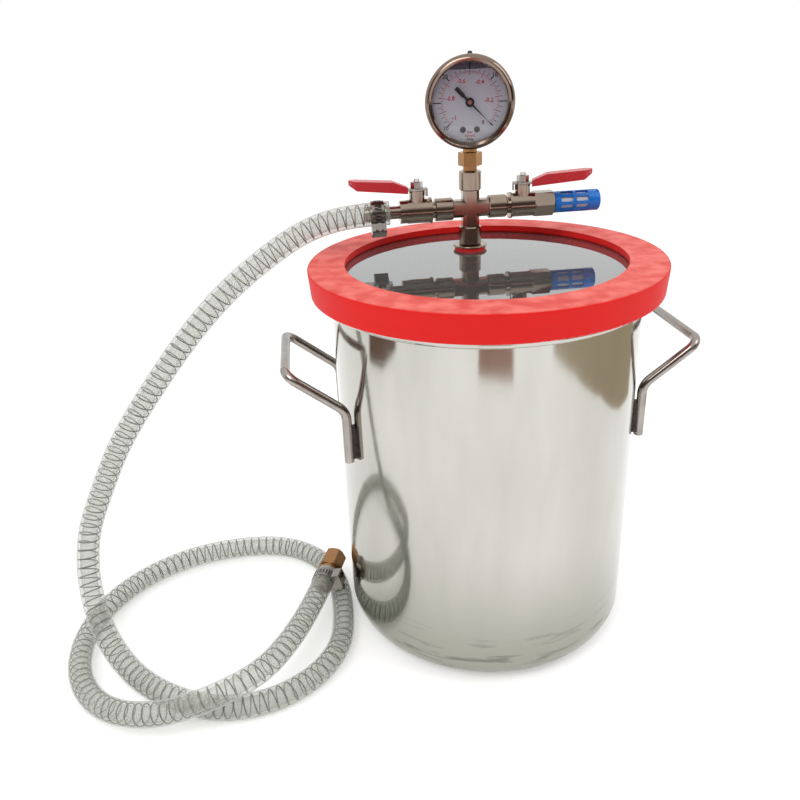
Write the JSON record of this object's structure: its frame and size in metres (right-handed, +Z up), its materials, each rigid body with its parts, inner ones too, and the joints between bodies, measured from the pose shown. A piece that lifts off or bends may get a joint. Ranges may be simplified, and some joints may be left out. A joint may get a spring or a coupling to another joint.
{
  "type": "vacuum chamber",
  "caption": "Degassing chamber: a polished steel pot with a clear lid in a silicone ring, carrying a vacuum gauge, a vent valve with a silencer and a suction valve with a hose",
  "frame": {"origin": "On the floor under the centre of the pot", "axes": "+Z is up. +X runs from the suction valve to the vent valve, through both handles. The gauge faces -Y, turned a little towards -X"},
  "size_m": [0.5274, 0.2749, 0.4606],
  "materials": {
    "polished_steel": "polished to a mirror",
    "weld_metal": "dull, heat tinted",
    "red_silicone": "smooth, slightly dusty",
    "lid_glass": "clear",
    "nickel_plate": "bright nickel plate",
    "bare_brass": "machined",
    "valve_steel": "polished",
    "white_seat": "smooth",
    "lever_steel": "zinc plated",
    "red_vinyl": "dipped",
    "blue_plastic": "moulded",
    "white_filter": "porous",
    "gauge_steel": "polished",
    "window_glass": "clear",
    "dial_white": "satin, printed scales",
    "pointer_black": "satin",
    "screw_steel": "machined",
    "black_rubber": "moulded",
    "clear_hose": "clear, with a wire coil in the wall"
  },
  "bodies": {
    "chamber": {"pot": "polished_steel", "left_handle": "polished_steel", "right_handle": "polished_steel", "left_handle_welds": "weld_metal", "right_handle_welds": "weld_metal", "gasket_ring": "red_silicone", "upper_seal": "red_silicone", "lower_seal": "red_silicone", "lid": "lid_glass", "upper_flange": "nickel_plate", "lower_washer": "nickel_plate", "lid_nipple": "nickel_plate", "lock_nut": "nickel_plate", "cross_fitting": "nickel_plate", "suction_valve_body": "nickel_plate", "vent_valve_body": "nickel_plate", "suction_hose_tail": "nickel_plate", "vent_valve_end": "nickel_plate", "suction_valve_gland": "nickel_plate", "vent_valve_gland": "nickel_plate", "gauge_stem": "bare_brass", "gauge_movement": "bare_brass", "bourdon_tube": "bare_brass", "hose_end_fitting": "bare_brass", "suction_valve_seats": "white_seat", "vent_valve_seats": "white_seat", "suction_valve_packing": "white_seat", "vent_valve_packing": "white_seat", "silencer_cage": "blue_plastic", "silencer_core": "white_filter", "gauge_bezel": "gauge_steel", "gauge_case": "gauge_steel", "gauge_window": "window_glass", "gauge_dial": "dial_white", "gauge_dial_screws": "screw_steel", "near_clamp_band": "screw_steel", "near_clamp_housing": "screw_steel", "near_clamp_screw": "screw_steel", "far_clamp_band": "screw_steel", "far_clamp_housing": "screw_steel", "far_clamp_screw": "screw_steel", "gauge_vent_plug": "black_rubber", "hose": "clear_hose"},
    "suction_lever": {"suction_valve_ball": "valve_steel", "suction_valve_stem": "valve_steel", "suction_lever": "lever_steel", "suction_lever_grip": "red_vinyl", "suction_lever_nut": "lever_steel"},
    "vent_lever": {"vent_valve_ball": "valve_steel", "vent_valve_stem": "valve_steel", "vent_lever": "lever_steel", "vent_lever_grip": "red_vinyl", "vent_lever_nut": "lever_steel"},
    "pointer": {"gauge_pointer": "pointer_black"}
  },
  "joints": [
    {"name": "suction_valve_turn", "type": "hinge", "parent": "chamber", "child": "suction_lever", "pos_m": [-0.0435, 0.053, 0.3433], "axis": [0, 0, 1], "range_deg": [-90, 0]},
    {"name": "vent_valve_turn", "type": "hinge", "parent": "chamber", "child": "vent_lever", "pos_m": [0.0435, 0.053, 0.3433], "axis": [0, 0, 1], "range_deg": [-75, 15]},
    {"name": "pointer_turn", "type": "hinge", "parent": "chamber", "child": "pointer", "pos_m": [0, 0.053, 0.4246], "axis": [-0.2079, -0.9781, 0], "range_deg": [0, 270], "stiffness_Nm_per_rad": 0.0005}
  ]
}
